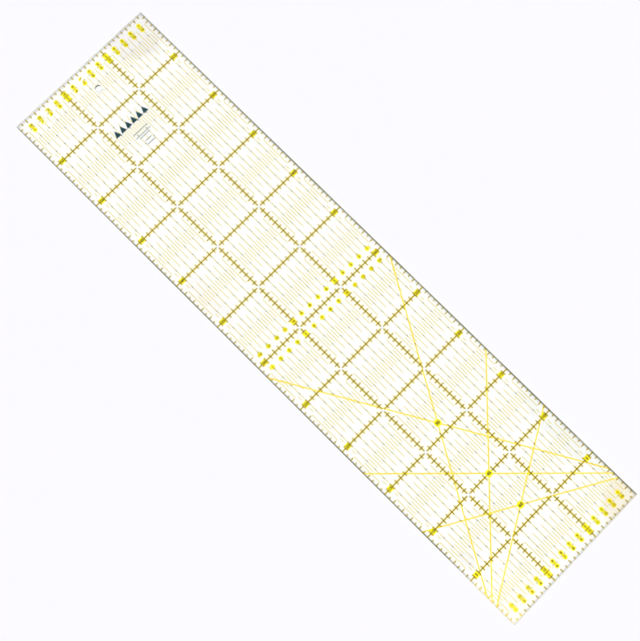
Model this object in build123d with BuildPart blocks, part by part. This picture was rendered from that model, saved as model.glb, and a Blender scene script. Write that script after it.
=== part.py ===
from build123d import *
import os
from math import cos, radians, sin, tan

os.makedirs("parts", exist_ok=True)

# Clear acrylic quilting ruler, 600 x 150 mm, printed on its underside.
# X runs along the length, Y across the width, Z up; the origin is the centre of the underside.
# u is measured from the low end and v from the low long edge, as the scales on the ruler are.

# Overall sizes
length = 600.0
width = 150.0
sheet_thickness = 3.0
corner_radius = 1.0
edge_chamfer = 0.25
hole_diameter = 6.0
hole_inset = 25.0
film = 0.03  # thickness of one pass of ink

# Pitches of the scales
fine = 1.0
half = 5.0
unit = 10.0
main = 50.0

# Widths of the printed lines
black_line = 0.6
yellow_band = 1.3
tick_band = 1.1
divider_line = 0.35
divider_band = 0.7
millimetre_line = 0.2
guide_line = 0.5
angle_line = 1.1
nub_line = 0.5

# Lengths of the ticks: on the edges, and across the main lines
edge_clear = 0.3
edge_tick_unit = 3.3
edge_tick_half = 2.4
edge_tick_fine = 1.4
cross_tick_unit = 6.3
cross_tick_half = 4.8
nub_length = 3.0
divider_length = 5.5
band_margin = 0.2
black_stop = 1.2
yellow_stop = 1.9

# Guide lines inside a main square, and the dots on them
guide_steps = [(unit, 0.5, 4.5), (unit / 2, 1.0, 4.0), (unit / 4, 2.0, 3.0)]
guide_dot = 1.15
tab_dash = (5.0, 9.0)

# Number tabs and numerals
tab_offset = 7.5
tab_side = 5.0
tab_disc = 4.4
length_numeral = 0.76 * (half - yellow_band)  # fits between the ticks beside its tab
width_numeral = 2.4
angle_numeral = 3.1
angle_tab = 6.7
angles = [(60.0, 20.0), (45.0, 25.0), (30.0, 30.0)]  # degrees, and where each starts on the edge

# Printed quilting motif in the last main square, set back from its far line
mark_back = 15.8
mark_rise = 6.8
mark_span = 39.0
mark_blocks = 6
mark_bars = [(27.6, 17.0), (31.4, 17.0), (33.6, 12.0), (38.1, 7.0), (41.8, 9.0)]  # setback and span
mark_bar = 0.7

# Levels of the print, from the underside up to the sheet
angle_level = 0.0
yellow_level = film
black_level = 2 * film
sheet_level = 3 * film

main_u = [k * main for k in range(1, int(length / main) + 1) if k * main <= length - unit]
main_v = [k * main for k in range(1, int(width / main) + 1) if k * main <= width - unit]
middle = main * round(length / 2 / main)
rows = [k * unit for k in range(1, int(width / unit) + 1) if k * unit <= width - unit + 0.01]
pairs = [(tab_offset, -1), (2 * unit - tab_offset, 1), (length - tab_offset, 1),
         (length - 2 * unit + tab_offset, -1), (middle + tab_offset, 1), (middle - tab_offset, -1)]
crossings = [(start + width / 2 / tan(radians(angle)), width / 2) for angle, start in angles]
hang_hole = (length - hole_inset, width / 2)
mark_spot = (main_u[-1], main * (int(width / 2 / main) + 0.5))


def at(u, v):
    """Place of a spot on the ruler, given along its scales."""
    return (u - length / 2, v - width / 2)


def near(value, stops, reach=0.01):
    """Whether a value lies within reach of one of the stops."""
    return any(abs(value - stop) < reach for stop in stops)


def steps(total, pitch):
    """Every multiple of the pitch that falls inside the total."""
    return [k * pitch for k in range(1, int(total / pitch) + 1) if k * pitch < total - fine / 2]


def bars(spots, size_u, size_v):
    """Rectangles of one size at many spots of the sketch in hand."""
    if spots:
        with Locations(*[at(u, v) for u, v in spots]):
            Rectangle(size_u, size_v)


def runs(total, stops, clear):
    """Stretches of a main line between its crossings, each stopped short of them."""
    ends = [0.0, *stops, total]
    return [(low + (clear if low else edge_clear), high - (clear if high < total else edge_clear))
            for low, high in zip(ends, ends[1:])]


def length_tabs(mode=Mode.ADD):
    """Square tabs on the lines across, at both long edges."""
    with Locations(*[at(u, v) for u in main_u for v in (tab_offset, width - tab_offset)]):
        Rectangle(tab_side, half - yellow_band, mode=mode)


def row_tabs(mode=Mode.ADD):
    """Square tabs on the lines along the ruler."""
    with Locations(*[at(u, v) for u, _ in pairs for v in main_v]):
        Rectangle(half - yellow_band, tab_side, mode=mode)


def cross_lines(line, stop, extra):
    """Main lines across the ruler, with a tick every 5 mm."""
    for low, high in runs(width, main_v, stop):
        bars([(u, (low + high) / 2) for u in main_u], line, high - low)
    ticks = [v for v in steps(width, half) if not near(v, main_v)]
    whole = [v for v in ticks if v % unit == 0]
    bars([(u, v) for u in main_u for v in whole], cross_tick_unit + extra, line)
    bars([(u, v) for u in main_u for v in ticks if v not in whole], cross_tick_half + extra, line)


def long_lines(line, stop, extra):
    """Main lines along the ruler, with a tick every 5 mm."""
    for low, high in runs(length, main_u, stop):
        bars([((low + high) / 2, v) for v in main_v], high - low, line)
    ticks = [u for u in steps(length, half) if not near(u, main_u)]
    whole = [u for u in ticks if u % unit == 0]
    bars([(u, v) for v in main_v for u in whole], line, cross_tick_unit + extra)
    bars([(u, v) for v in main_v for u in ticks if u not in whole], line, cross_tick_half + extra)


def nubs(along_length):
    """Short nubs midway between the ticks of the main lines."""
    lines, total, stops = (main_v, length, main_u) if along_length else (main_u, width, main_v)
    spots = [s - half / 2 for s in steps(total + half, half)]
    spots = [s for s in spots if half < s < total - half]
    if along_length:
        bars([(u, v) for v in lines for u in spots], nub_line, nub_length)
    else:
        bars([(u, v) for u in lines for v in spots], nub_length, nub_line)


def edge_ticks(spots, reach, line, along_length):
    """Ticks that start at both edges of one direction."""
    middle_in = edge_clear + reach / 2
    if along_length:
        bars([(u, v) for u in spots for v in (middle_in, width - middle_in)], line, reach)
    else:
        bars([(u, v) for v in spots for u in (middle_in, length - middle_in)], reach, line)


def edge_scale(line, extra, along_length):
    """Centimetre and half-centimetre ticks of one pair of edges."""
    total, stops = (length, main_u) if along_length else (width, main_v)
    spots = [s for s in steps(total, half) if not near(s, stops)]
    edge_ticks([s for s in spots if s % unit == 0], edge_tick_unit + extra, line, along_length)
    edge_ticks([s for s in spots if s % unit], edge_tick_half + extra, line, along_length)


def dividers(line, extra):
    """Ticks between the paired round tabs at both ends."""
    spots = [v for v in rows if not near(v, main_v)]
    bars([(u, v) for u in (unit, length - unit) for v in spots], line, divider_length + extra)


def discs(spots, diameter):
    """Round tabs at many spots of the sketch in hand."""
    with Locations(*[at(u, v) for u, v in spots]):
        Circle(diameter / 2)


def digit(number, h):
    """One plain numeral of height h, centred on the origin."""
    w, s = 0.60 * h, 0.17 * h
    with BuildSketch() as face:
        if number in (0, 6, 9):
            SlotOverall(h, w, rotation=90)
            SlotOverall(h - 2 * s, w - 2 * s, rotation=90, mode=Mode.SUBTRACT)
        if number in (6, 9):
            with Locations((0.18 * h, 0.06 * h)):
                Rectangle(0.36 * h, 0.28 * h, mode=Mode.SUBTRACT)
        if number in (3, 5, 6, 8, 9):
            with Locations((0, -0.2 * h)):
                Circle(w / 2)
        if number in (2, 3, 8):
            with Locations((0, 0.2 * h)):
                Circle(w / 2)
                Circle(w / 2 - s, mode=Mode.SUBTRACT)
        if number in (3, 5, 6, 8, 9):
            with Locations((0, -0.2 * h)):
                Circle(w / 2 - s, mode=Mode.SUBTRACT)
        if number == 1:
            with Locations((0.06 * h, 0)):
                Rectangle(s, h)
            Polygon((0.0, 0.5 * h), (0.0, 0.3 * h), (-0.2 * h, 0.2 * h), (-0.2 * h, 0.36 * h), align=None)
        if number == 2:
            with Locations((0, 0.05 * h)):
                Rectangle(w + s, 0.3 * h, mode=Mode.SUBTRACT)
            Polygon((0.13 * h, 0.21 * h), (0.3 * h, 0.21 * h), (-0.06 * h, -0.36 * h),
                    (-0.3 * h, -0.36 * h), align=None)
            with Locations((0, s / 2 - 0.5 * h)):
                Rectangle(w, s)
        if number == 3:
            with Locations((-0.22 * h, 0)):
                Rectangle(0.28 * h, 0.4 * h, mode=Mode.SUBTRACT)
        if number == 4:
            with Locations((0.1 * h, 0)):
                Rectangle(s, h)
            with Locations((0, -0.2 * h)):
                Rectangle(w + 0.06 * h, s)
            Polygon((0.02 * h, 0.5 * h), (0.15 * h, 0.5 * h), (-0.12 * h, -0.2 * h),
                    (-0.33 * h, -0.2 * h), align=None)
        if number == 5:
            with Locations((-0.2 * h, -0.15 * h)):
                Rectangle(0.24 * h, 0.24 * h, mode=Mode.SUBTRACT)
            with Locations((0.01 * h, (h - s) / 2)):
                Rectangle(0.54 * h, s)
            with Locations((s / 2 - 0.26 * h, 0.24 * h)):
                Rectangle(s, 0.5 * h)
        if number == 7:
            with Locations((0, (h - s) / 2)):
                Rectangle(w, s)
            Polygon((0.3 * h, 0.36 * h), (0.1 * h, 0.36 * h), (-0.2 * h, -0.5 * h),
                    (-0.01 * h, -0.5 * h), align=None)
    return face.sketch.rotate(Axis.Z, 180) if number == 9 else face.sketch


def numerals(labels, h):
    """Numbers centred on their spots, read with the far end upward."""
    places = {}
    for u, v, value in labels:
        text = str(int(round(value)))
        x, y = at(u, v)
        for k, char in enumerate(text):
            shift = 0.68 * h * (k - (len(text) - 1) / 2)
            places.setdefault(int(char), []).append(Location((x, y - shift, 0), (0, 0, -90)))
    for number, spots in places.items():
        face = digit(number, h)
        with Locations(*spots):
            add(face)


length_labels = [(u, v, u / unit) for u in main_u for v in (tab_offset, width - tab_offset)]
width_labels = [(u, v, v / unit if way > 0 else (width - v) / unit) for u, way in pairs for v in rows]
angle_labels = [(u, v, angle) for (u, v), (angle, _) in zip(crossings, angles)]
round_spots = [(u, v) for u, _ in pairs for v in rows if not near(v, main_v)]


def guides():
    """Fine guide lines of every whole main square, clear of tabs, hole and motif."""
    for i in range(int(length / main + 0.01)):
        for j in range(int(width / main + 0.01)):
            for step, first, last in guide_steps:
                low, high = i * main + first * unit, i * main + last * unit
                if step == unit:
                    low = max(low, 2 * unit - half)
                    high = min(high, length - 2 * unit + half)
                    if near(i * main, [middle]):
                        low = middle + unit
                    if near((i + 1) * main, [middle]):
                        high = middle - unit
                each = [k * step for k in range(1, int(main / step)) if step == unit or k % 2]
                if step == unit / 4:
                    each = [w for w in each if half < w < main - half]
                bars([((low + high) / 2, j * main + w) for w in each], high - low, guide_line)
    near_side, far_side = tab_dash
    spots = [(u + way * (near_side + far_side) / 2, v) for u in main_u for way in (-1, 1)
             for v in (tab_offset, width - tab_offset)]
    bars(spots, far_side - near_side, guide_line)


def clearings():
    """Areas that the main lines and the guide lines leave open."""
    with Locations(*[at(u, v) for u, v in crossings]):
        Circle(angle_tab / 2, mode=Mode.SUBTRACT)
    with Locations(at(*hang_hole)):
        Circle(hole_diameter / 2 + 0.8, mode=Mode.SUBTRACT)


# Clear sheet with its hang hole
with BuildPart() as acrylic_sheet:
    with BuildSketch(Plane.XY.offset(sheet_level)):
        RectangleRounded(length, width, corner_radius)
        with Locations(at(*hang_hole)):
            Circle(hole_diameter / 2, mode=Mode.SUBTRACT)
    extrude(amount=sheet_thickness)
    rims = acrylic_sheet.faces().filter_by(Axis.Z)
    chamfer(rims.edges(), edge_chamfer)
acrylic_sheet.part.label = "acrylic_sheet"
export_step(acrylic_sheet.part, "parts/acrylic_sheet.step", write_pcurves=False)

# Main lines across the ruler, a black hairline over a yellow band
with BuildPart() as black_cross_lines:
    with BuildSketch(Plane.XY.offset(black_level)):
        cross_lines(black_line, black_stop, 0.0)
        length_tabs(Mode.SUBTRACT)
        clearings()
    extrude(amount=film)
black_cross_lines.part.label = "black_cross_lines"
export_step(black_cross_lines.part, "parts/black_cross_lines.step", write_pcurves=False)

with BuildPart() as yellow_cross_lines:
    with BuildSketch(Plane.XY.offset(yellow_level)):
        cross_lines(yellow_band, yellow_stop, 2 * band_margin)
        nubs(False)
        length_tabs(Mode.SUBTRACT)
        clearings()
    extrude(amount=film)
yellow_cross_lines.part.label = "yellow_cross_lines"
export_step(yellow_cross_lines.part, "parts/yellow_cross_lines.step", write_pcurves=False)

# Main lines along the ruler
with BuildPart() as black_long_lines:
    with BuildSketch(Plane.XY.offset(black_level)):
        long_lines(black_line, black_stop, 0.0)
        row_tabs(Mode.SUBTRACT)
        clearings()
    extrude(amount=film)
black_long_lines.part.label = "black_long_lines"
export_step(black_long_lines.part, "parts/black_long_lines.step", write_pcurves=False)

with BuildPart() as yellow_long_lines:
    with BuildSketch(Plane.XY.offset(yellow_level)):
        long_lines(yellow_band, yellow_stop, 2 * band_margin)
        nubs(True)
        row_tabs(Mode.SUBTRACT)
        clearings()
    extrude(amount=film)
yellow_long_lines.part.label = "yellow_long_lines"
export_step(yellow_long_lines.part, "parts/yellow_long_lines.step", write_pcurves=False)

# Scales on the long edges
with BuildPart() as black_long_edge_scale:
    with BuildSketch(Plane.XY.offset(black_level)):
        edge_scale(black_line, 0.0, True)
    extrude(amount=film)
black_long_edge_scale.part.label = "black_long_edge_scale"
export_step(black_long_edge_scale.part, "parts/black_long_edge_scale.step", write_pcurves=False)

with BuildPart() as yellow_long_edge_scale:
    with BuildSketch(Plane.XY.offset(yellow_level)):
        edge_scale(tick_band, band_margin, True)
    extrude(amount=film)
yellow_long_edge_scale.part.label = "yellow_long_edge_scale"
export_step(yellow_long_edge_scale.part, "parts/yellow_long_edge_scale.step", write_pcurves=False)

with BuildPart() as long_edge_millimetres:
    with BuildSketch(Plane.XY.offset(black_level)):
        spots = [u for u in steps(length, fine) if u % half]
        edge_ticks(spots, edge_tick_fine, millimetre_line, True)
    extrude(amount=film)
long_edge_millimetres.part.label = "long_edge_millimetres"
export_step(long_edge_millimetres.part, "parts/long_edge_millimetres.step", write_pcurves=False)

# Scales on the short edges
with BuildPart() as black_short_edge_scale:
    with BuildSketch(Plane.XY.offset(black_level)):
        edge_scale(black_line, 0.0, False)
    extrude(amount=film)
black_short_edge_scale.part.label = "black_short_edge_scale"
export_step(black_short_edge_scale.part, "parts/black_short_edge_scale.step", write_pcurves=False)

with BuildPart() as yellow_short_edge_scale:
    with BuildSketch(Plane.XY.offset(yellow_level)):
        edge_scale(tick_band, band_margin, False)
    extrude(amount=film)
yellow_short_edge_scale.part.label = "yellow_short_edge_scale"
export_step(yellow_short_edge_scale.part, "parts/yellow_short_edge_scale.step", write_pcurves=False)

with BuildPart() as short_edge_millimetres:
    with BuildSketch(Plane.XY.offset(black_level)):
        spots = [v for v in steps(width, fine) if v % half and fine < v < width - fine]
        edge_ticks(spots, edge_tick_fine, millimetre_line, False)
    extrude(amount=film)
short_edge_millimetres.part.label = "short_edge_millimetres"
export_step(short_edge_millimetres.part, "parts/short_edge_millimetres.step", write_pcurves=False)

# Fine guide lines and the dots on them
with BuildPart() as yellow_guide_lines:
    with BuildSketch(Plane.XY.offset(yellow_level)):
        guides()
        clearings()
    extrude(amount=film)
yellow_guide_lines.part.label = "yellow_guide_lines"
export_step(yellow_guide_lines.part, "parts/yellow_guide_lines.step", write_pcurves=False)

with BuildPart() as black_guide_dots:
    with BuildSketch(Plane.XY.offset(black_level)):
        dots_u = [u for u in steps(length, unit) if not near(u, main_u) and unit < u < length - unit]
        dots_v = [v for v in steps(width, unit) if not near(v, main_v)]
        discs([(u, v) for u in dots_u for v in dots_v], guide_dot)
    extrude(amount=film)
black_guide_dots.part.label = "black_guide_dots"
export_step(black_guide_dots.part, "parts/black_guide_dots.step", write_pcurves=False)

# Numbers along the long edges, on square tabs
with BuildPart() as yellow_length_tabs:
    with BuildSketch(Plane.XY.offset(yellow_level)):
        length_tabs()
    extrude(amount=film)
yellow_length_tabs.part.label = "yellow_length_tabs"
export_step(yellow_length_tabs.part, "parts/yellow_length_tabs.step", write_pcurves=False)

with BuildPart() as black_length_numerals:
    with BuildSketch(Plane.XY.offset(black_level)):
        numerals(length_labels, length_numeral)
    extrude(amount=film)
black_length_numerals.part.label = "black_length_numerals"
export_step(black_length_numerals.part, "parts/black_length_numerals.step", write_pcurves=False)

# Numbers across the ruler, on round tabs and on square ones where a main line passes
with BuildPart() as yellow_width_tabs:
    with BuildSketch(Plane.XY.offset(yellow_level)):
        row_tabs()
        discs(round_spots, tab_disc)
        dividers(divider_band, 2 * band_margin)
    extrude(amount=film)
yellow_width_tabs.part.label = "yellow_width_tabs"
export_step(yellow_width_tabs.part, "parts/yellow_width_tabs.step", write_pcurves=False)

with BuildPart() as black_width_numerals:
    with BuildSketch(Plane.XY.offset(black_level)):
        numerals(width_labels, width_numeral)
        dividers(divider_line, 0.0)
    extrude(amount=film)
black_width_numerals.part.label = "black_width_numerals"
export_step(black_width_numerals.part, "parts/black_width_numerals.step", write_pcurves=False)

# Angle lines from both long edges, and the tabs where they cross
with BuildPart() as yellow_angle_lines:
    with BuildSketch(Plane.XY.offset(angle_level)):
        for angle, start in angles:
            run = width / sin(radians(angle))
            centre_u = start + run * cos(radians(angle)) / 2
            for turn in (angle, -angle):
                with Locations(Location((*at(centre_u, width / 2), 0), (0, 0, turn))):
                    Rectangle(run, angle_line)
        Rectangle(length - 2 * edge_clear, width - 2 * edge_clear, mode=Mode.INTERSECT)
    extrude(amount=film)
yellow_angle_lines.part.label = "yellow_angle_lines"
export_step(yellow_angle_lines.part, "parts/yellow_angle_lines.step", write_pcurves=False)

with BuildPart() as yellow_angle_tabs:
    with BuildSketch(Plane.XY.offset(yellow_level)):
        discs(crossings, angle_tab)
    extrude(amount=film)
yellow_angle_tabs.part.label = "yellow_angle_tabs"
export_step(yellow_angle_tabs.part, "parts/yellow_angle_tabs.step", write_pcurves=False)

with BuildPart() as black_angle_numerals:
    with BuildSketch(Plane.XY.offset(black_level)):
        numerals(angle_labels, angle_numeral)
    extrude(amount=film)
black_angle_numerals.part.label = "black_angle_numerals"
export_step(black_angle_numerals.part, "parts/black_angle_numerals.step", write_pcurves=False)

# Plain motif of a quilt border, a row of triangles, with a few plain rules below it
with BuildPart() as teal_motif:
    with BuildSketch(Plane.XY.offset(black_level)):
        block = mark_span / mark_blocks
        for k in range(mark_blocks):
            x, y = at(mark_spot[0] - mark_back, mark_spot[1] + 1.0 - mark_span / 2 + k * block)
            Polygon((x - mark_rise / 2, y + 0.3), (x + mark_rise / 2, y + block / 2),
                    (x - mark_rise / 2, y + block - 0.3), align=None)
    extrude(amount=film)
teal_motif.part.label = "teal_motif"
export_step(teal_motif.part, "parts/teal_motif.step", write_pcurves=False)

with BuildPart() as grey_rules:
    with BuildSketch(Plane.XY.offset(black_level)):
        for setback, span in mark_bars:
            bars([(mark_spot[0] - setback, mark_spot[1])], mark_bar, span)
    extrude(amount=film)
grey_rules.part.label = "grey_rules"
export_step(grey_rules.part, "parts/grey_rules.step", write_pcurves=False)
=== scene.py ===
"""Looks of a clear acrylic quilting ruler, printed on its underside in black, yellow, teal and grey."""
import logging
import math
from dataclasses import dataclass, field
from enum import Enum
from typing import Iterable, Sequence

import bpy
import numpy as np
from mathutils import Matrix, Vector


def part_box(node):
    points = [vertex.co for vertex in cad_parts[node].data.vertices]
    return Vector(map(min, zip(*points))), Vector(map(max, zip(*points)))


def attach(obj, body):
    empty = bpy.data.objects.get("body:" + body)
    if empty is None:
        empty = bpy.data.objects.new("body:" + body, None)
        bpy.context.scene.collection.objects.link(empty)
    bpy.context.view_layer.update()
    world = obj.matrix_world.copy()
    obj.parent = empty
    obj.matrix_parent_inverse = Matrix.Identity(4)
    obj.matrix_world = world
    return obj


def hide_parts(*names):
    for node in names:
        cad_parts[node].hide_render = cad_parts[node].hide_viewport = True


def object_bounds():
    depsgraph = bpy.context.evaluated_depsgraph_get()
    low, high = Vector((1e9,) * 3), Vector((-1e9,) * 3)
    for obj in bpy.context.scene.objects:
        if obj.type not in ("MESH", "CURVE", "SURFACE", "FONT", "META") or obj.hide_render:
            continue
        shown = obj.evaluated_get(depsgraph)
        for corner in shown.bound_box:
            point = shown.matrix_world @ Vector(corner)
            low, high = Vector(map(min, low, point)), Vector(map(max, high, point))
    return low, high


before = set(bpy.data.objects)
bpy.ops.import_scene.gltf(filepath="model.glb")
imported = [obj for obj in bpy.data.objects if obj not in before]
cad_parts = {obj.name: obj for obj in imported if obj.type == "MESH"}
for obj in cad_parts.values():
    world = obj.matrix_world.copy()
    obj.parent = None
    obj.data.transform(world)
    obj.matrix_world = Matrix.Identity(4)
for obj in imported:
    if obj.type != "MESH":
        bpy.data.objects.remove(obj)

log = logging.getLogger("ruler")
MM = 0.001
SHARP_ANGLE = math.radians(35)
CAD_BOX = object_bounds()
Spot = tuple[float, float]
Colour = tuple[float, float, float]
Socket = bpy.types.NodeSocket


class Slot(Enum):
    """Material slots of the record."""

    ACRYLIC = "acrylic"
    BLACK = "black_ink"
    YELLOW = "yellow_ink"
    TEAL = "teal_ink"
    GREY = "grey_ink"


# ------------------------------ shader helpers


class Graph:
    """A node tree being wired, with short ways to add the nodes this ruler's finishes use."""

    def __init__(self, tree: bpy.types.NodeTree) -> None:
        """Keeps the tree.

        Args:
            tree: node tree of a material or of a group.
        """
        self.tree = tree

    def node(self, kind: str, **settings: object) -> bpy.types.Node:
        """Adds a node.

        Args:
            kind: node type, such as "ShaderNodeMath".
            **settings: attributes of the node.

        Returns:
            The new node.
        """
        new = self.tree.nodes.new(kind)
        for name, value in settings.items():
            setattr(new, name, value)
        return new

    def feed(self, socket: Socket, value: object) -> None:
        """Links a socket to another one, or sets its plain value."""
        if isinstance(value, Socket):
            self.tree.links.new(value, socket)
        elif value is not None:
            socket.default_value = value

    def maths(self, operation: str, a: object, b: object = None, clamp: bool = False) -> Socket:
        """Adds a Math node.

        Args:
            operation: name of the operation, such as "MULTIPLY".
            a: first value or socket.
            b: second value or socket.
            clamp: keeps the result within 0 and 1.

        Returns:
            The result's socket.
        """
        new = self.node("ShaderNodeMath", operation=operation, use_clamp=clamp)
        self.feed(new.inputs[0], a)
        self.feed(new.inputs[1], b)
        return new.outputs[0]

    def plus(self, a: object, b: object) -> Socket:
        """Sum of two values or sockets."""
        return self.maths("ADD", a, b)

    def less(self, a: object, b: object) -> Socket:
        """The first value or socket less the second."""
        return self.maths("SUBTRACT", a, b)

    def times(self, a: object, b: object) -> Socket:
        """Product of two values or sockets."""
        return self.maths("MULTIPLY", a, b)

    def rest(self, value: object) -> Socket:
        """One less the value."""
        return self.maths("SUBTRACT", 1.0, value)

    def step(self, value: object, low: float, high: float) -> Socket:
        """Smooth step from 0 at low to 1 at high.

        Args:
            value: socket to test.
            low: value that gives 0.
            high: value that gives 1.

        Returns:
            The result's socket.
        """
        new = self.node("ShaderNodeMapRange", interpolation_type="SMOOTHSTEP")
        self.feed(new.inputs["Value"], value)
        new.inputs["From Min"].default_value = low
        new.inputs["From Max"].default_value = high
        return new.outputs["Result"]

    def noise(self, vector: object, scale: float, detail: float = 2.0) -> Socket:
        """Noise around 0.5.

        Args:
            vector: place socket.
            scale: lumps per metre.
            detail: octaves.

        Returns:
            The noise's socket.
        """
        new = self.node("ShaderNodeTexNoise")
        self.feed(new.inputs["Vector"], vector)
        new.inputs["Scale"].default_value = scale
        new.inputs["Detail"].default_value = detail
        return new.outputs["Fac"]

    def placed(self, vector: object, centre: Sequence[float] = (0, 0, 0), turn: float = 0.0,
               stretch: Sequence[float] = (1, 1, 1)) -> Socket:
        """Moves a pattern's origin to a centre, turns its x axis by an angle, then stretches it.

        Args:
            vector: place socket.
            centre: new origin, in metres.
            turn: angle of the pattern's x axis from the object's, in degrees.
            stretch: factors along the turned axes.

        Returns:
            The new place's socket.
        """
        shift = self.node("ShaderNodeVectorMath", operation="SUBTRACT")
        self.feed(shift.inputs[0], vector)
        shift.inputs[1].default_value = centre
        spin = self.node("ShaderNodeMapping", vector_type="TEXTURE")
        self.feed(spin.inputs["Vector"], shift.outputs[0])
        spin.inputs["Rotation"].default_value = (0, 0, math.radians(turn))
        scale = self.node("ShaderNodeVectorMath", operation="MULTIPLY")
        self.feed(scale.inputs[0], spin.outputs[0])
        scale.inputs[1].default_value = stretch
        return scale.outputs[0]

    def blend(self, factor: object, a: object, b: object) -> Socket:
        """Mixes two colours.

        Args:
            factor: share of the second colour.
            a: first colour.
            b: second colour.

        Returns:
            The mixed colour's socket.
        """
        new = self.node("ShaderNodeMix", data_type="RGBA")
        self.feed(new.inputs["Factor"], factor)
        self.feed(new.inputs["A"], a)
        self.feed(new.inputs["B"], b)
        return new.outputs["Result"]

    def bump(self, height: object, strength: float, depth: float) -> Socket:
        """Turns a height into a bumped normal.

        Args:
            height: height socket.
            strength: share of the bump.
            depth: millimetres that a height of 1 stands for.

        Returns:
            The normal's socket.
        """
        new = self.node("ShaderNodeBump")
        new.inputs["Strength"].default_value = strength
        new.inputs["Distance"].default_value = depth * MM
        self.feed(new.inputs["Height"], height)
        return new.outputs["Normal"]

    def parts(self, vector: object) -> tuple[Socket, ...]:
        """Splits a vector into its x, y and z sockets."""
        new = self.node("ShaderNodeSeparateXYZ")
        self.feed(new.inputs[0], vector)
        return tuple(new.outputs)


def new_group(name: str, inputs: dict[str, object], outputs: dict[str, str]) -> tuple[Graph, dict, dict]:
    """Starts a node group.

    Args:
        name: name of the group.
        inputs: input name to its default value; None makes a vector input.
        outputs: output name to its socket type.

    Returns:
        The graph, the input sockets by name and the output sockets by name.
    """
    tree = bpy.data.node_groups.new(name, "ShaderNodeTree")
    for label, value in inputs.items():
        kind = {float: "NodeSocketFloat", tuple: "NodeSocketColor"}.get(type(value), "NodeSocketVector")
        socket = tree.interface.new_socket(label, in_out="INPUT", socket_type=kind)
        if value is not None:
            socket.default_value = value
    for label, kind in outputs.items():
        tree.interface.new_socket(label, in_out="OUTPUT", socket_type=kind)
    graph = Graph(tree)
    start, end = graph.node("NodeGroupInput"), graph.node("NodeGroupOutput")
    return graph, {s.name: s for s in start.outputs}, {s.name: s for s in end.inputs}


@dataclass(frozen=True)
class PrintWear:
    """Wear of a printed ink film, mottled density and pinholes, with white streaks of painted glare.

    Scales are in lumps per metre. A pair of limits says where a mask starts and where it is full.
    """

    cloud_scale: float = 140.0
    cloud_detail: float = 3.0
    cloud_share: float = 0.55
    grain_scale: float = 2600.0
    grain_share: float = 0.45
    swing: float = 4.0
    pinhole_scale: float = 620.0
    pinhole_limits: Spot = (0.05, 0.11)
    patch_scale: float = 45.0
    patch_limits: Spot = (0.56, 0.66)
    # Near-white of the pinholes, and painted highlight of the glare streaks.
    bare_colour: Colour = (0.93, 0.93, 0.94)
    grain_roughness: float = 0.3
    bare_roughness: float = 0.2
    grain_height: float = 0.5

    def group(self, glare_streaks: Sequence["Scuff"]) -> bpy.types.NodeTree:
        """Builds the print_wear_and_glare group.

        The colour is darkened and lightened by two sizes of noise, goes towards white in pinholes, where
        the distance to the nearest of many scattered points is small, and towards white along each painted
        glare streak.

        Args:
            glare_streaks: glare streaks painted on the print.

        Returns:
            The node group.
        """
        graph, given, out = new_group(
            "print_wear_and_glare",
            {"Place": None, "Ink": (0.5, 0.5, 0.5, 1.0), "Mottle": 0.1, "Pinholes": 0.5, "Roughness": 0.4},
            {"Colour": "NodeSocketColor", "Roughness": "NodeSocketFloat", "Height": "NodeSocketFloat"})
        place = given["Place"]
        cloud = graph.noise(place, self.cloud_scale, self.cloud_detail)
        grain = graph.noise(place, self.grain_scale)
        density = graph.plus(graph.times(cloud, self.cloud_share), graph.times(grain, self.grain_share))
        swing = graph.times(graph.less(density, 0.5), given["Mottle"])
        shade = graph.node("ShaderNodeVectorMath", operation="SCALE")
        graph.feed(shade.inputs[0], given["Ink"])
        graph.feed(shade.inputs["Scale"], graph.plus(graph.times(swing, self.swing), 1.0))
        cells = graph.node("ShaderNodeTexVoronoi", feature="F1")
        graph.feed(cells.inputs["Vector"], place)
        cells.inputs["Scale"].default_value = self.pinhole_scale
        hole = graph.rest(graph.step(cells.outputs["Distance"], *self.pinhole_limits))
        patch = graph.step(graph.noise(place, self.patch_scale), *self.patch_limits)
        holes_and_glare = graph.times(graph.times(hole, patch), given["Pinholes"])
        # Painted highlight: glare streaks turn the print near-white, as the pinholes do.
        for glare_streak in glare_streaks:
            holes_and_glare = graph.maths("MAXIMUM", holes_and_glare, glare_streak.mask(graph, place))
        graph.feed(out["Colour"], graph.blend(holes_and_glare, shade.outputs[0], (*self.bare_colour, 1.0)))
        rough = graph.plus(given["Roughness"], graph.times(graph.less(grain, 0.5), self.grain_roughness))
        graph.feed(out["Roughness"], graph.maths("ADD", rough, graph.times(holes_and_glare, self.bare_roughness), True))
        graph.feed(out["Height"], graph.less(graph.times(grain, self.grain_height), holes_and_glare))
        return graph.tree


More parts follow.
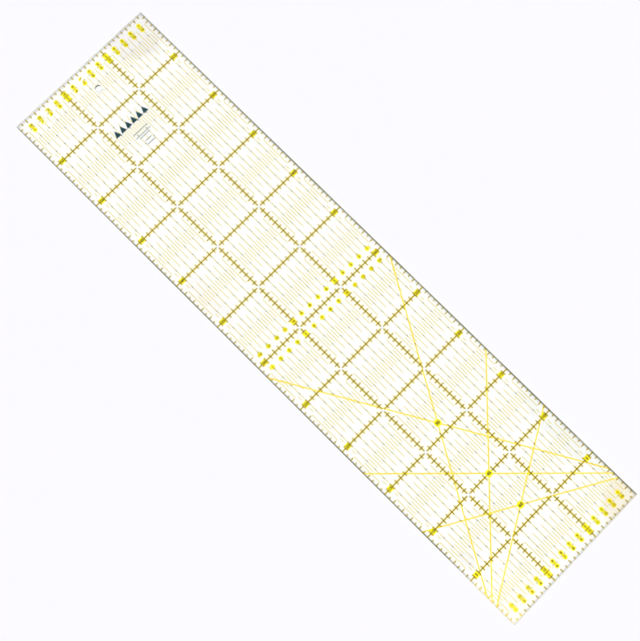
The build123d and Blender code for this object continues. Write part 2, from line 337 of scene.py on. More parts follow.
@dataclass(frozen=True)
class Hairlines:
    """Hairline scratches and faint handling haze of a polished plastic face.

    Each family of scratches has its angle in degrees, its lumps per metre along and across, and a shift
    that gives it noise of its own.
    """

    families: tuple[tuple[float, float, float, float], ...] = (
        (4.0, 9.0, 5200.0, 0.1), (38.0, 14.0, 4200.0, 1.3),
        (-27.0, 12.0, 4700.0, 2.9), (86.0, 16.0, 3900.0, 4.2))
    line_limits: Spot = (0.74, 0.8)
    patch_scale: float = 26.0
    patch_limits: Spot = (0.5, 0.62)
    haze_scale: float = 18.0
    haze_detail: float = 5.0
    haze_limits: Spot = (0.45, 0.75)

    def group(self) -> bpy.types.NodeTree:
        """Builds the fine_scratches group.

        Noise drawn out along one direction is cut near its peak, so that it leaves lines a few hundredths
        of a millimetre wide, and a broad noise breaks the lines up.

        Returns:
            The node group.
        """
        graph, given, out = new_group("fine_scratches", {"Place": None, "Density": 0.5},
                                      {"Mask": "NodeSocketFloat", "Haze": "NodeSocketFloat"})
        place, total = given["Place"], None
        for turn, along, across, shift in self.families:
            lines = graph.noise(graph.placed(place, (shift, 0, 0), turn, (along, across, 1)), 1.0, 1.0)
            patch = graph.step(graph.noise(graph.placed(place, (shift, shift, 0)), self.patch_scale),
                               *self.patch_limits)
            family = graph.times(graph.step(lines, *self.line_limits), patch)
            total = family if total is None else graph.maths("MAXIMUM", total, family)
        graph.feed(out["Mask"], graph.times(total, given["Density"]))
        haze = graph.noise(place, self.haze_scale, self.haze_detail)
        graph.feed(out["Haze"], graph.step(haze, *self.haze_limits))
        return graph.tree


# ------------------------------ finishes


@dataclass(frozen=True)
class Scuff:
    """A glare streak painted on the print in near-white: two ends in scale millimetres, and its width.

    Its tear and its limits are shares of its width, and those of its ends are shares of its length.
    """

    start: Spot
    end: Spot
    width: float
    tear: float = 1.6
    tear_stretch: Spot = (300.0, 2200.0)
    side_limits: Spot = (0.3, 0.6)
    end_limits: Spot = (0.42, 0.5)

    def mask(self, graph: Graph, place: Socket) -> Socket:
        """Share of painted glare: 1 on the streak's line, falling to 0 at its sides and ends, broken up by
        noise.

        Args:
            graph: tree to build in.
            place: place socket.

        Returns:
            The mask's socket.
        """
        a, b = Vector(on_ruler(*self.start)), Vector(on_ruler(*self.end))
        centre, run = (a + b) / 2, b - a
        turn, width = math.degrees(math.atan2(run.y, run.x)), self.width * MM
        u, v, _ = graph.parts(graph.placed(place, (centre.x, centre.y, 0), turn))
        noise = graph.noise(graph.placed(place, (0, 0, 0), turn, (*self.tear_stretch, 1)), 1.0)
        near = graph.plus(graph.maths("ABSOLUTE", v), graph.times(graph.less(noise, 0.5), self.tear * width))
        side = graph.rest(graph.step(near, *(share * width for share in self.side_limits)))
        ends = graph.rest(graph.step(graph.maths("ABSOLUTE", u),
                                     *(share * run.length for share in self.end_limits)))
        return graph.times(side, ends)


@dataclass(frozen=True)
class Smear:
    """A faint tint on the sheet: its middle and half sizes in scale millimetres, and its colour."""

    middle: Spot
    reach: Spot
    tint: Colour
    wave_scale: float = 60.0
    wave: float = 0.5
    limits: Spot = (0.7, 1.0)

    def mask(self, graph: Graph, place: Socket) -> Socket:
        """Strength of the tint: 1 inside an ellipse with a wavy edge, 0 outside.

        Args:
            graph: tree to build in.
            place: place socket.

        Returns:
            The mask's socket.
        """
        stretch = (1 / (self.reach[0] * MM), 1 / (self.reach[1] * MM), 1)
        away = graph.node("ShaderNodeVectorMath", operation="LENGTH")
        graph.feed(away.inputs[0], graph.placed(place, on_ruler(*self.middle), 0.0, stretch))
        wave = graph.times(graph.less(graph.noise(place, self.wave_scale), 0.5), self.wave)
        return graph.rest(graph.step(graph.plus(away.outputs["Value"], wave), *self.limits))


@dataclass(frozen=True)
class InkFinish:
    """A screen-printed ink film, and the CAD nodes that wear it in place of their slot's plain ink."""

    name: str
    slot: Slot
    colour: Colour
    mottle: float
    pinholes: float
    roughness: float
    worn: tuple[Smear, ...] = ()
    nodes: tuple[str, ...] = ()
    worn_share: float = 0.55
    specular: float = 0.12
    bump_strength: float = 0.25
    bump_depth: float = 0.02

    def material(self, wear: bpy.types.NodeTree) -> bpy.types.Material:
        """Builds the ink's material.

        Args:
            wear: the print_wear_and_glare group.

        Returns:
            The material.
        """
        material = bpy.data.materials.new(self.name)
        material.use_nodes = True
        material.diffuse_color = (*self.colour, 1.0)
        graph = Graph(material.node_tree)
        shader = material.node_tree.nodes["Principled BSDF"]
        shader.inputs["Specular IOR Level"].default_value = self.specular
        place = graph.node("ShaderNodeTexCoord").outputs["Object"]
        group = graph.node("ShaderNodeGroup", node_tree=wear)
        graph.feed(group.inputs["Place"], place)
        group.inputs["Ink"].default_value = (*self.colour, 1.0)
        group.inputs["Mottle"].default_value = self.mottle
        group.inputs["Pinholes"].default_value = self.pinholes
        group.inputs["Roughness"].default_value = self.roughness
        colour = group.outputs["Colour"]
        for patch in self.worn:
            share = graph.times(patch.mask(graph, place), self.worn_share)
            colour = graph.blend(share, colour, (*patch.tint, 1.0))
        graph.feed(shader.inputs["Base Color"], colour)
        graph.feed(shader.inputs["Roughness"], group.outputs["Roughness"])
        graph.feed(shader.inputs["Normal"],
                   graph.bump(group.outputs["Height"], self.bump_strength, self.bump_depth))
        return material


@dataclass(frozen=True)
class AcrylicFinish:
    """Polished clear acrylic with frosted sawn walls, and painted shade: a dark band along both long edges.

    Limits of the rim, the dark band and the frost are metres past the sheet's outline, so they are below
    0 inside it. The dark band fades along the ruler between two places, also in metres.
    """

    colour: Colour = (1.0, 1.0, 0.99)
    # Painted shade: dark olive of the band along both long edges, standing in for the shade seen at the
    # edges; on the walls it is also acrylic's own green tint.
    edge_colour: Colour = (0.20, 0.205, 0.11)
    sawn_colour: Colour = (0.62, 0.63, 0.56)
    # Painted light: above one, so light passing through the sheet gains a few percent and the floor and print
    # under it are lit brighter.
    clear_colour: Colour = (1.02, 1.03, 1.005)
    shine: float = 0.25
    ior: float = 1.49
    viewport_alpha: float = 0.25
    scratches: float = 0.5
    rim_limits: Spot = (-0.0002, -0.00005)
    band_limits: Spot = (-0.0011, -0.000605)
    frost_limits: Spot = (-0.00004, -0.00001)
    frost: float = 0.6
    # Patches of the painted edge shade, and its fade along the ruler.
    polish_stretch: Spot = (14.0, 40.0)
    polish_limits: Spot = (0.25, 0.6)
    polish_share: float = 0.3
    fade_limits: Spot = (0.1, 0.3)
    fade: float = 0.35
    saw_stretch: tuple[float, float, float] = (2600.0, 2600.0, 160.0)
    saw_roughness: float = 0.2
    saw_height: float = 0.8
    edge_roughness: float = 0.22
    face_roughness: float = 0.012
    scratch_roughness: float = 0.3
    scratch_depth: float = 0.25
    haze_roughness: float = 0.02
    bump_strength: float = 0.35
    bump_depth: float = 0.03
    smears: tuple[Smear, ...] = (Smear((0.0, 6.0), (24.0, 34.0), (0.945, 0.885, 0.76)),
                                 Smear((12.0, 132.0), (20.0, 20.0), (0.99, 0.965, 0.93)),
                                 Smear((63.0, 139.0), (11.0, 6.0), (0.955, 0.945, 0.94)),
                                 Smear((372.0, 138.0), (34.0, 10.0), (0.985, 0.965, 0.955)),
                                 Smear((596.0, 14.0), (36.0, 36.0), (0.915, 0.895, 0.905)),
                                 Smear((80.0, 4.0), (60.0, 14.0), (0.94, 0.945, 0.935)))
    # Stretch near one corner where the painted edge shade turns pale and warm.
    pale_edge: Smear = Smear((8.0, 150.0), (70.0, 12.0), (0.93, 0.88, 0.80))

    def material(self, scratches: bpy.types.NodeTree, half_length: float,
                 half_width: float) -> bpy.types.Material:
        """Builds the sheet's material.

        Args:
            scratches: the fine_scratches group.
            half_length: half the sheet's length, in metres.
            half_width: half the sheet's width, in metres.

        Returns:
            The material.
        """
        material = bpy.data.materials.new(Slot.ACRYLIC.value)
        material.use_nodes = True
        material.diffuse_color = (*self.colour, self.viewport_alpha)
        graph = Graph(material.node_tree)
        shader = material.node_tree.nodes["Principled BSDF"]
        shader.inputs["IOR"].default_value = self.ior
        shader.inputs["Transmission Weight"].default_value = 1.0
        shader.inputs["Specular Tint"].default_value = (self.shine, self.shine, self.shine, 1.0)
        place = graph.node("ShaderNodeTexCoord").outputs["Object"]
        x, y, _ = graph.parts(place)
        past_end = graph.less(graph.maths("ABSOLUTE", x), half_length)
        past_side = graph.less(graph.maths("ABSOLUTE", y), half_width)
        past = graph.maths("MAXIMUM", past_end, past_side)
        graph.feed(shader.inputs["Base Color"], self.tint(graph, place, x, past_side))
        group = graph.node("ShaderNodeGroup", node_tree=scratches)
        graph.feed(group.inputs["Place"], place)
        group.inputs["Density"].default_value = self.scratches
        self.surface(graph, shader, place, group, graph.step(past, *self.rim_limits))
        frost = graph.times(graph.step(past, *self.frost_limits), self.frost)
        graph.feed(material.node_tree.nodes["Material Output"].inputs["Surface"],
                   self.passage(graph, shader, frost))
        return material

    def tint(self, graph: Graph, place: Socket, x: Socket,
             past_side: Socket) -> Socket:
        """Colour of the sheet: clear with faint smears, and painted shade, a dark band along both long edges.

        Args:
            graph: tree to build in.
            place: place socket.
            x: place along the ruler.
            past_side: distance past the nearer long edge.

        Returns:
            The colour's socket.
        """
        # Painted shade: a patchy dark band inside both long edges, weaker towards the far end.
        band = graph.step(past_side, *self.band_limits)
        cloud = graph.noise(graph.placed(place, (0, 0, 0), 0.0, (*self.polish_stretch, 1)), 1.0)
        shade_patches = graph.times(graph.step(cloud, *self.polish_limits), self.polish_share)
        thin = graph.rest(graph.times(graph.step(x, *self.fade_limits), self.fade))
        dark = graph.times(graph.times(band, graph.plus(shade_patches, 1 - self.polish_share)), thin)
        # The painted edge shade goes pale and warm near one corner.
        edge_shade_colour = graph.blend(self.pale_edge.mask(graph, place), (*self.edge_colour, 1.0),
                             (*self.pale_edge.tint, 1.0))
        colour = (*self.colour, 1.0)
        for smear in self.smears:
            colour = graph.blend(smear.mask(graph, place), colour, (*smear.tint, 1.0))
        return graph.blend(dark, colour, edge_shade_colour)

    def surface(self, graph: Graph, shader: bpy.types.Node, place: Socket,
                wear: bpy.types.Node, rim: Socket) -> None:
        """Roughens the scratched faces and the sawn rim, and bumps both.

        Args:
            graph: tree to build in.
            shader: the sheet's shader.
            place: place socket.
            wear: node of the fine_scratches group.
            rim: mask of the rim.
        """
        saw = graph.noise(graph.placed(place, (0, 0, 0), 0.0, self.saw_stretch), 1.0)
        face = graph.plus(graph.times(wear.outputs["Mask"], self.scratch_roughness),
                          graph.times(wear.outputs["Haze"], self.haze_roughness))
        sawn = graph.times(rim, graph.plus(graph.times(saw, self.saw_roughness),
                                           self.edge_roughness - self.saw_roughness / 2))
        graph.feed(shader.inputs["Roughness"],
                   graph.maths("ADD", graph.plus(face, sawn), self.face_roughness, True))
        height = graph.less(graph.times(graph.times(saw, rim), self.saw_height),
                            graph.times(wear.outputs["Mask"], self.scratch_depth))
        graph.feed(shader.inputs["Normal"], graph.bump(height, self.bump_strength, self.bump_depth))

    def passage(self, graph: Graph, shader: bpy.types.Node,
                frost: Socket) -> Socket:
        """Frosts the walls, and lets shadow and diffuse rays through a little brightened, as painted light,
        so the sheet casts almost no shadow.

        Args:
            graph: tree to build in.
            shader: the sheet's shader.
            frost: share of matt surface.

        Returns:
            The surface's socket.
        """
        matt = graph.node("ShaderNodeBsdfDiffuse")
        matt.inputs["Color"].default_value = (*self.sawn_colour, 1.0)
        clear = graph.node("ShaderNodeBsdfTransparent")
        # Painted light: a colour above one brightens what passes through the sheet.
        clear.inputs["Color"].default_value = (*self.clear_colour, 1.0)
        path = graph.node("ShaderNodeLightPath")
        through = graph.maths("MAXIMUM", path.outputs["Is Shadow Ray"], path.outputs["Is Diffuse Ray"])
        surface = shader
        for share, other in ((frost, matt), (through, clear)):
            mix = graph.node("ShaderNodeMixShader")
            graph.feed(mix.inputs[0], share)
            graph.feed(mix.inputs[1], surface.outputs[0])
            graph.feed(mix.inputs[2], other.outputs[0])
            surface = mix
        return surface.outputs[0]


@dataclass(frozen=True)
class FloorFinish:
    """Pale matt backdrop."""

    colour: Colour = (0.885, 0.875, 0.905)
    grain: float = 0.99
    grain_scale: float = 900.0
    roughness: float = 0.9
    specular: float = 0.1

    def material(self) -> bpy.types.Material:
        """Builds the backdrop's material: a matt coat with a faint soft grain.

        Returns:
            The material.
        """
        material = bpy.data.materials.new("pale_floor")
        material.use_nodes = True
        graph = Graph(material.node_tree)
        shader = material.node_tree.nodes["Principled BSDF"]
        place = graph.node("ShaderNodeTexCoord").outputs["Object"]
        tone = tuple(self.grain * c for c in self.colour)
        graph.feed(shader.inputs["Base Color"], graph.blend(graph.noise(place, self.grain_scale),
                                                            (*self.colour, 1.0), (*tone, 1.0)))
        shader.inputs["Roughness"].default_value = self.roughness
        shader.inputs["Specular IOR Level"].default_value = self.specular
        return material


# ------------------------------ places and mesh helpers


@dataclass(frozen=True)
class Layout:
    """Sizes of the sheet and of its scales, in millimetres."""

    length: float = 600.0
    width: float = 150.0
    main: float = 50.0
    unit: float = 10.0
    half: float = 5.0
    band: float = 1.3
    divider_line: float = 0.35
    divider_band: float = 0.7
    tab_offset: float = 7.5
    tab_side: float = 5.0
    divider: float = 5.5
    margin: float = 0.2
    hole_inset: float = 25.0
    angles: tuple[tuple[float, float], ...] = ((60.0, 20.0), (45.0, 25.0), (30.0, 30.0))

    @property
    def main_u(self) -> list[float]:
        """Main lines across the ruler."""
        return [float(u) for u in np.arange(self.main, self.length - self.unit + 0.1, self.main)]

    @property
    def main_v(self) -> list[float]:
        """Main lines along the ruler."""
        return [float(v) for v in np.arange(self.main, self.width - self.unit + 0.1, self.main)]

    @property
    def rows(self) -> list[float]:
        """Every whole centimetre across the width."""
        return [float(v) for v in np.arange(self.unit, self.width - self.unit + 0.1, self.unit)]

    @property
    def plain_rows(self) -> list[float]:
        """Whole centimetres across the width that aren't main lines."""
        return [v for v in self.rows if v not in self.main_v]

    @property
    def dividers(self) -> list[Spot]:
        """Short bars between the paired width numbers at both ends."""
        return [(u, v) for u in (self.unit, self.length - self.unit) for v in self.plain_rows]

    @property
    def tab_ends(self) -> list[Spot]:
        """Tabs of the length numbers, at both ends of every main line across."""
        return [(u, v) for u in self.main_u for v in (self.tab_offset, self.width - self.tab_offset)]

    @property
    def columns(self) -> list[tuple[float, int]]:
        """Columns of width numbers, and whether each counts up or down."""
        near, far = self.tab_offset, 2 * self.unit - self.tab_offset
        middle = self.length / 2
        return [(near, -1), (far, 1), (self.length - near, 1), (self.length - far, -1),
                (middle + near, 1), (middle - near, -1)]

    @property
    def crossings(self) -> list[tuple[Spot, float]]:
        """Where each pair of angle lines crosses, with its angle."""
        return [((start + self.width / 2 / math.tan(math.radians(angle)), self.width / 2), angle)
                for angle, start in self.angles]


LAYOUT = Layout()


def on_ruler(u: float, v: float) -> tuple[float, float, float]:
    """Place in metres of a spot given along the ruler's scales in millimetres."""
    return ((u - LAYOUT.length / 2) * MM, (v - LAYOUT.width / 2) * MM, 0.0)


def ring(radius: float, count: int) -> np.ndarray:
    """Points of a circle, counter-clockwise from the +X axis.

    Args:
        radius: radius in millimetres.
        count: number of points.

    Returns:
        The points, count by 2, in metres.
    """
    angle = np.arange(count) * (2 * math.pi / count)
    return radius * MM * np.stack([np.cos(angle), np.sin(angle)], 1)


def block(size_u: float, size_v: float, corner: float, count: int = 3) -> np.ndarray:
    """Outline of a rectangle with rounded corners, counter-clockwise.

    Each corner is a quarter circle of the corner's radius about a point that far in from both sides.

    Args:
        size_u: length along X in millimetres.
        size_v: length along Y in millimetres.
        corner: corner radius in millimetres.
        count: segments of each corner.

    Returns:
        The outline's points in metres.
    """
    angle = np.radians(np.add.outer(np.arange(4) * 90.0, np.linspace(0, 90, count + 1)))
    sign = np.array([[1, 1], [-1, 1], [-1, -1], [1, -1]])[:, None, :]
    middle = sign * (np.array([size_u, size_v]) / 2 - corner)
    return ((middle + corner * np.stack([np.cos(angle), np.sin(angle)], 2)) * MM).reshape(-1, 2)


def plates(outline: np.ndarray, spots: Iterable[Spot], low: float, high: float) -> "Shape":
    """Flat plates of one outline at many spots.

    Every point of the outline is added to every spot, once at the lower level and once at the upper one.

    Args:
        outline: outline in metres, counter-clockwise.
        spots: centres in scale millimetres.
        low: lower level in metres.
        high: upper level in metres.

    Returns:
        The shape.
    """
    centres = np.array([on_ruler(*spot)[:2] for spot in spots])
    count, n = len(centres), len(outline)
    flat = centres[:, None, :] + outline[None]
    points = np.empty((count, 2, n, 3))
    points[:, :, :, :2] = flat[:, None]
    points[:, 0, :, 2], points[:, 1, :, 2] = low, high
    base = np.arange(count)[:, None] * 2 * n
    k = np.arange(n)
    nxt = (k + 1) % n
    sides = np.stack([k, nxt, n + nxt, n + k], 1)[None] + base[:, :, None]
    faces = [row.tolist() for row in base + k[::-1]] + [row.tolist() for row in base + n + k]
    return Shape(points.reshape(-1, 3), faces + sides.reshape(-1, 4).tolist())


@dataclass
class Shape:
    """Points and faces of a piece before it is a mesh."""

    points: np.ndarray
    faces: list[list[int]]

    def __add__(self, other: "Shape") -> "Shape":
        """Both shapes together."""
        shift = len(self.points)
        return Shape(np.concatenate([self.points, other.points]),
                     self.faces + [[i + shift for i in face] for face in other.faces])

    def piece(self, name: str, material: bpy.types.Material, slot: Slot, replaced: str) -> bpy.types.Object:
        """Makes the piece, dresses it and says which CAD node it stands for. Only its walls are smooth.

        Args:
            name: name of the piece.
            material: its material.
            slot: not used.
            replaced: CAD node it stands for.

        Returns:
            The new object.
        """
        mesh = bpy.data.meshes.new(name)
        mesh.from_pydata(self.points.tolist(), [], self.faces)
        mesh.materials.append(material)
        mesh.validate()
        mesh.set_sharp_from_angle(angle=SHARP_ANGLE)
        mesh.polygons.foreach_set("use_smooth", np.array([len(p.vertices) == 4 for p in mesh.polygons]))
        thing = bpy.data.objects.new(name, mesh)
        bpy.context.scene.collection.objects.link(thing)
        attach(thing, "root")
        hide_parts(replaced)
        log.info("%s: %d faces, stands for %s", name, len(mesh.polygons), replaced)
        return thing


def level(node: str) -> tuple[float, float]:
    """Lower and upper level of a CAD node, in metres."""
    low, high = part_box(node)
    return float(low[2]), float(high[2])


# ------------------------------ sub-assemblies


@dataclass
class AcrylicSheet:
    """Clear sheet with rounded corners, eased edges and a hang hole. Sizes in millimetres."""

    corner: float = 1.0
    ease: float = 0.18
    hole: float = 6.0
    hole_points: int = 96
    corner_steps: int = 10
    ease_steps: int = 4
    lift: float = 0.004

    def outline(self, inset: float) -> np.ndarray:
        """Outline moved in by an inset, with a point on each long edge beside the hole.

        Each corner is a quarter circle of the corner radius less the inset, about the same centre.

        Args:
            inset: distance in from the sheet's edge, in millimetres.

        Returns:
            The points in millimetres, counter-clockwise from beside the hole on the low edge.
        """
        half = np.array([LAYOUT.length, LAYOUT.width]) / 2
        beside = half[0] - LAYOUT.hole_inset
        angle = np.radians(np.linspace(0, 90, self.corner_steps + 1))
        arc = (self.corner - inset) * np.stack([np.cos(angle), np.sin(angle)], 1)
        turn = np.array([[0.0, 1.0], [-1.0, 0.0]])
        centre = half - self.corner
        corners = []
        for k, sign in enumerate(((1, -1), (1, 1), (-1, 1), (-1, -1))):
            corners.append(centre * sign + arc @ np.linalg.matrix_power(turn, (k - 1) % 4))
        edge = half[1] - inset
        return np.concatenate([[[beside, -edge]], corners[0], corners[1],
                               [[beside, edge]], corners[2], corners[3]])

    def build(self, material: bpy.types.Material) -> bpy.types.Object:
        """Carries the edge's profile round the outline and round the hole, and closes both faces.

        The profile is a quarter round at the foot and one at the top: the inset is the ease times one less
        the sine, and the height the ease times one less the cosine, of an angle from 0 to 90 degrees.

        Args:
            material: the acrylic.

        Returns:
            The sheet.
        """
        low, high = (z / MM for z in level("acrylic_sheet"))
        low += self.lift
        swing = np.radians(np.linspace(0, 90, self.ease_steps + 1))
        inset = self.ease * (1 - np.sin(swing))
        rise = self.ease * (1 - np.cos(swing))
        insets = np.concatenate([inset, inset[::-1]])
        heights = np.concatenate([low + rise, high - rise[::-1]])
        walls = np.stack([self.outline(i) for i in insets])
        count, n = walls.shape[:2]
        m = self.hole_points
        spin = np.radians(-90 + np.arange(m) * 360 / m)
        circle = np.stack([np.cos(spin), np.sin(spin)], 1)
        middle = np.array([LAYOUT.length / 2 - LAYOUT.hole_inset, 0.0])
        bore = np.stack([middle + (self.hole / 2 + i) * circle for i in insets])
        points = np.concatenate([
            np.insert(rings, 2, heights[:, None], axis=2).reshape(-1, 3) for rings in (walls, bore)])
        faces = self.skirt(count, n, 0, False) + self.skirt(count, m, count * n, True)
        opposite = 1 + 2 * (self.corner_steps + 1)
        half = m // 2
        for row, flip in ((count - 1, False), (0, True)):
            wall, hole = row * n, count * n + row * m
            right = [wall + k for k in range(opposite + 1)] + [hole + k for k in range(half, -1, -1)]
            left = ([wall + k % n for k in range(opposite, n + 1)]
                    + [hole + k % m for k in range(m, half - 1, -1)])
            faces += [side[::-1] if flip else side for side in (right, left)]
        return Shape(points * MM, faces).piece("clear_sheet", material, Slot.ACRYLIC, "acrylic_sheet")

    @staticmethod
    def skirt(rows: int, count: int, start: int, inward: bool) -> list[list[int]]:
        """Quads between neighbouring rings of points.

        Args:
            rows: number of rings.
            count: points in each ring.
            start: index of the first point.
            inward: faces look at the ring's axis.

        Returns:
            The faces.
        """
        i, j = np.meshgrid(np.arange(rows - 1), np.arange(count), indexing="ij")
        nxt = (j + 1) % count
        near, far = i * count, (i + 1) * count
        quads = start + np.stack([near + j, near + nxt, far + nxt, far + j], 2)
        return (quads[:, :, ::-1] if inward else quads).reshape(-1, 4).tolist()


@dataclass
class Tabs:
    """Yellow tabs behind the numbers, and the dots on the guide lines. Sizes in millimetres."""

    disc: float = 4.4
    angle_disc: float = 6.7
    dot: float = 1.15
    disc_points: int = 36
    angle_points: int = 64
    dot_points: int = 12
    corner: float = 0.25
    divider_corner: float = 0.12
    clear: float = LAYOUT.half - LAYOUT.band

    def build(self, yellow: bpy.types.Material, black: bpy.types.Material) -> list[bpy.types.Object]:
        """Builds square tabs, round tabs, the angle tabs and the dots.

        Args:
            yellow: yellow ink.
            black: black ink.

        Returns:
            The pieces.
        """
        low, high = level("yellow_width_tabs")
        rounds = [(u, v) for u, _ in LAYOUT.columns for v in LAYOUT.plain_rows]
        squares = [(u, v) for u, _ in LAYOUT.columns for v in LAYOUT.main_v]
        bar = block(LAYOUT.divider_band, LAYOUT.divider + 2 * LAYOUT.margin, self.divider_corner)
        width_tabs = (plates(ring(self.disc / 2, self.disc_points), rounds, low, high)
                      + plates(block(self.clear, LAYOUT.tab_side, self.corner), squares, low, high)
                      + plates(bar, LAYOUT.dividers, low, high))
        length_tabs = plates(block(LAYOUT.tab_side, self.clear, self.corner), LAYOUT.tab_ends, low, high)
        angle_tabs = plates(ring(self.angle_disc / 2, self.angle_points),
                            [spot for spot, _ in LAYOUT.crossings], low, high)
        dot_u = [u for u in np.arange(2 * LAYOUT.unit, LAYOUT.length - 1.5 * LAYOUT.unit, LAYOUT.unit)
                 if u not in LAYOUT.main_u]
        dots = plates(ring(self.dot / 2, self.dot_points), [(u, v) for u in dot_u for v in LAYOUT.plain_rows],
                      *level("black_guide_dots"))
        return [width_tabs.piece("width_tabs", yellow, Slot.YELLOW, "yellow_width_tabs"),
                length_tabs.piece("length_tabs", yellow, Slot.YELLOW, "yellow_length_tabs"),
                angle_tabs.piece("angle_tabs", yellow, Slot.YELLOW, "yellow_angle_tabs"),
                dots.piece("guide_dots", black, Slot.BLACK, "black_guide_dots")]


@dataclass
class Numerals:
    """Plain black numerals on the tabs. Heights in millimetres."""

    length_height: float = 2.8
    width_height: float = 2.4
    angle_height: float = 3.1
    weight: float = 0.042
    pitch: float = 0.66
    own_height: float = 0.70
    smoothness: int = 3
    divider_corner: float = 0.05
    divider_steps: int = 2
    glyphs: dict[str, tuple[np.ndarray, list[list[int]]]] = field(default_factory=dict)

    def glyph(self, char: str) -> tuple[np.ndarray, list[list[int]]]:
        """A numeral one unit high, centred on the origin, as a closed plate from z 0 to z 1.

        Args:
            char: the numeral.

        Returns:
            Its points and its faces.
        """
        if char not in self.glyphs:
            curve = bpy.data.curves.new("numeral", "FONT")
            curve.body, curve.size, curve.resolution_u = char, 1.0, self.smoothness
            curve.offset, curve.extrude = self.weight, 0.5
            holder = bpy.data.objects.new("numeral", curve)
            bpy.context.scene.collection.objects.link(holder)
            graph = bpy.context.evaluated_depsgraph_get()
            mesh = bpy.data.meshes.new_from_object(holder.evaluated_get(graph))
            points = np.empty(len(mesh.vertices) * 3)
            mesh.vertices.foreach_get("co", points)
            points = points.reshape(-1, 3)
            faces = [list(polygon.vertices) for polygon in mesh.polygons]
            low, high = points.min(0), points.max(0)
            points[:, :2] = (points[:, :2] - (low + high)[:2] / 2) / (self.own_height + 2 * self.weight)
            points[:, 2] = (points[:, 2] - low[2]) / (high[2] - low[2])
            bpy.data.objects.remove(holder)
            bpy.data.curves.remove(curve)
            bpy.data.meshes.remove(mesh)
            self.glyphs[char] = (points, faces)
        return self.glyphs[char]

    def shape(self, labels: Iterable[tuple[float, float, float]], height: float, node: str) -> Shape:
        """Numbers on their spots, read with the far end of the ruler upward.

        A numeral's own x runs down the ruler's Y axis and its own y along the X axis.

        Args:
            labels: spot and value of each number.
            height: height in millimetres.
            node: CAD node whose levels the numbers take.

        Returns:
            The shape.
        """
        low, high = level(node)
        points, faces, start = [], [], 0
        for u, v, value in labels:
            text = str(int(round(value)))
            x, y, _ = on_ruler(u, v)
            for k, char in enumerate(text):
                own, own_faces = self.glyph(char)
                along = own[:, 0] + self.pitch * (k - (len(text) - 1) / 2)
                placed = np.stack([x + own[:, 1] * height * MM, y - along * height * MM,
                                   low + own[:, 2] * (high - low)], 1)
                points.append(placed)
                faces += [[i + start for i in face] for face in own_faces]
                start += len(own)
        return Shape(np.concatenate(points), faces)

    def build(self, black: bpy.types.Material) -> list[bpy.types.Object]:
        """Builds the numbers along the ruler, across it and on the angle tabs.

        Args:
            black: black ink.

        Returns:
            The pieces.
        """
        along = [(u, v, u / LAYOUT.unit) for u, v in LAYOUT.tab_ends]
        across = [(u, v, (v if way > 0 else LAYOUT.width - v) / LAYOUT.unit)
                  for u, way in LAYOUT.columns for v in LAYOUT.rows]
        bar = block(LAYOUT.divider_line, LAYOUT.divider, self.divider_corner, self.divider_steps)
        width_shape = (self.shape(across, self.width_height, "black_width_numerals")
                       + plates(bar, LAYOUT.dividers, *level("black_width_numerals")))
        length_shape = self.shape(along, self.length_height, "black_length_numerals")
        angle_shape = self.shape([(*spot, angle) for spot, angle in LAYOUT.crossings], self.angle_height,
                                 "black_angle_numerals")
        return [length_shape.piece("length_numerals", black, Slot.BLACK, "black_length_numerals"),
                width_shape.piece("width_numerals", black, Slot.BLACK, "black_width_numerals"),
                angle_shape.piece("angle_numerals", black, Slot.BLACK, "black_angle_numerals")]


@dataclass
class StraightPrint:
    """Lines, ticks, motif and rules that keep the shapes they have in the CAD."""

    prefixes: tuple[tuple[str, Slot], ...] = (
        ("black_", Slot.BLACK), ("yellow_", Slot.YELLOW), ("teal_", Slot.TEAL), ("grey_", Slot.GREY),
        ("long_edge_", Slot.BLACK), ("short_edge_", Slot.BLACK))

    def dress(self, inks: dict[Slot, bpy.types.Material], special: dict[str, bpy.types.Material]) -> None:
        """Gives every CAD node of the print its ink.

        Args:
            inks: plain ink of each slot.
            special: ink of each node that doesn't wear its slot's plain one.
        """
        for name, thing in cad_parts.items():
            for prefix, slot in self.prefixes:
                if name.startswith(prefix):
                    thing.data.materials.clear()
                    thing.data.materials.append(special.get(name, inks[slot]))
                    log.info("%s: %s", name, slot.value)


# ------------------------------ room, light and camera


@dataclass(frozen=True)
class Softbox:
    """A square lamp that points at the ruler. Places in metres."""

    name: str
    place: tuple[float, float, float]
    size: float
    watts: float
    colour: Colour = (1.0, 1.0, 1.0)
    aim: tuple[float, float, float] = (0.0, 0.0, 0.0)

    def build(self) -> bpy.types.Object:
        """Builds the lamp.

        Returns:
            The lamp.
        """
        lamp = bpy.data.lights.new(self.name, "AREA")
        lamp.shape, lamp.size, lamp.energy, lamp.color = "SQUARE", self.size, self.watts, self.colour
        thing = bpy.data.objects.new(self.name, lamp)
        thing.location = self.place
        thing.rotation_euler = (Vector(self.aim) - Vector(self.place)).to_track_quat("-Z", "Y").to_euler()
        bpy.context.scene.collection.objects.link(thing)
        return thing


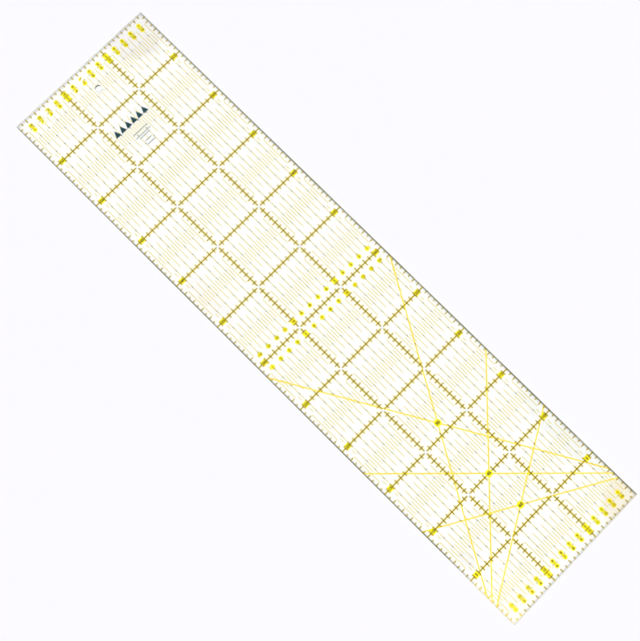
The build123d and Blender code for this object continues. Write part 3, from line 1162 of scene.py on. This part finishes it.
@dataclass
class Studio:
    """Floor, lamps, surroundings and camera. Places in metres, lens and sensor in millimetres."""

    floor_size: float = 30.0
    floor_gap: float = 0.00002
    horizon: Colour = (0.96, 0.96, 0.97)
    zenith: Colour = (0.90, 0.90, 0.91)
    softboxes: tuple[Softbox, ...] = (
        Softbox("left_softbox", (-1.9, 0.0, 1.35), 1.5, 4.7),
        Softbox("right_softbox", (1.9, 0.0, 1.35), 1.5, 4.7),
        Softbox("front_softbox", (0.0, 1.9, 1.35), 1.5, 4.7),
        Softbox("back_softbox", (0.0, -1.9, 1.35), 1.5, 4.7),
        Softbox("corner_lamp", (-0.63, 0.02, 1.5), 0.16, 0.30, (1.0, 0.86, 0.55), (-0.28, 0.06, 0.0)))
    camera_place: tuple[float, float, float] = (-0.08365, 0.09841, 0.86378)
    camera_aim: tuple[float, float, float] = (-0.00803, 0.0083, 0.001)
    camera_up: tuple[float, float, float] = (0.69976, -0.70158, 0.13460)
    lens: float = 57.2155
    sensor: float = 36.0
    clip: Spot = (0.01, 100.0)

    def build(self, floor: FloorFinish) -> None:
        """Builds the room.

        Args:
            floor: finish of the backdrop.
        """
        reach = self.floor_size / 2
        mesh = bpy.data.meshes.new("floor")
        corners = np.array([[-reach, -reach, 0], [reach, -reach, 0], [reach, reach, 0], [-reach, reach, 0]])
        corners[:, 2] = float(CAD_BOX[0][2]) - self.floor_gap
        mesh.from_pydata(corners.tolist(), [], [[0, 1, 2, 3]])
        mesh.materials.append(floor.material())
        thing = bpy.data.objects.new("floor", mesh)
        bpy.context.scene.collection.objects.link(thing)
        world = bpy.data.worlds.new("studio")
        bpy.context.scene.world = world
        world.use_nodes = True
        graph = Graph(world.node_tree)
        rise = graph.parts(graph.node("ShaderNodeTexCoord").outputs["Generated"])[2]
        graph.feed(world.node_tree.nodes["Background"].inputs["Color"],
                   graph.blend(rise, (*self.horizon, 1.0), (*self.zenith, 1.0)))
        for softbox in self.softboxes:
            softbox.build()
        bpy.context.scene.view_settings.view_transform = "Standard"
        log.info("room: %d softboxes", len(self.softboxes))

    def camera(self) -> bpy.types.Object:
        """Builds the camera, which looks from its place at its aim with its own up direction.

        Returns:
            The camera.
        """
        place, back = Vector(self.camera_place), Vector(self.camera_place) - Vector(self.camera_aim)
        back.normalize()
        right = Vector(self.camera_up).cross(back).normalized()
        up = back.cross(right)
        data = bpy.data.cameras.new("camera")
        data.lens, data.sensor_width, data.sensor_fit = self.lens, self.sensor, "HORIZONTAL"
        data.clip_start, data.clip_end = self.clip
        thing = bpy.data.objects.new("camera", data)
        turn = Matrix((right, up, back)).transposed().to_4x4()
        thing.matrix_world = Matrix.Translation(place) @ turn
        bpy.context.scene.collection.objects.link(thing)
        bpy.context.scene.camera = thing
        return thing


# Painted highlight: near-white glare streaks on the print near the far end.
GLARE_STREAKS = (Scuff((593.5, 77.0), (580.0, 97.5), 2.0), Scuff((591.0, 80.0), (560.0, 110.0), 0.5),
          Scuff((590.5, 113.0), (575.5, 133.5), 1.3), Scuff((593.0, 120.0), (586.0, 131.0), 0.9))
INKS = (InkFinish("black_ink", Slot.BLACK, (0.020, 0.013, 0.004), 0.20, 0.4, 0.42,
                  (Smear((8.0, 154.0), (46.0, 20.0), (1.0, 0.88, 0.05)),)),
        InkFinish("yellow_ink", Slot.YELLOW, (1.0, 0.87, 0.0), 0.03, 0.3, 0.45),
        InkFinish("teal_ink", Slot.TEAL, (0.006, 0.045, 0.06), 0.25, 0.5, 0.42),
        InkFinish("grey_ink", Slot.GREY, (0.22, 0.28, 0.30), 0.35, 0.8, 0.45))
THIN_INKS = (
    InkFinish("band_yellow_ink", Slot.YELLOW, (0.96, 0.74, 0.0), 0.05, 0.3, 0.45,
              nodes=("yellow_cross_lines", "yellow_long_lines", "yellow_long_edge_scale",
                     "yellow_short_edge_scale")),
    InkFinish("fine_yellow_ink", Slot.YELLOW, (0.72, 0.59, 0.0), 0.06, 0.3, 0.45,
              nodes=("yellow_guide_lines",)),
    InkFinish("golden_yellow_ink", Slot.YELLOW, (1.0, 0.77, 0.01), 0.04, 0.3, 0.45,
              nodes=("yellow_angle_lines",)))


def main() -> None:
    """Builds every piece in order and reports it."""
    logging.basicConfig(level=logging.INFO, format="%(name)s: %(message)s")
    # The print's wear group also paints the glare streaks.
    wear, scratches = PrintWear().group(GLARE_STREAKS), Hairlines().group()
    inks = {finish.slot: finish.material(wear) for finish in INKS}
    acrylic = AcrylicFinish().material(scratches, LAYOUT.length / 2 * MM, LAYOUT.width / 2 * MM)
    AcrylicSheet().build(acrylic)
    Tabs().build(inks[Slot.YELLOW], inks[Slot.BLACK])
    Numerals().build(inks[Slot.BLACK])
    special = {}
    for finish in THIN_INKS:
        special.update(dict.fromkeys(finish.nodes, finish.material(wear)))
    StraightPrint().dress(inks, special)
    studio = Studio()
    studio.build(FloorFinish())
    studio.camera()
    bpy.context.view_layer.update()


if __name__ == "__main__":
    main()
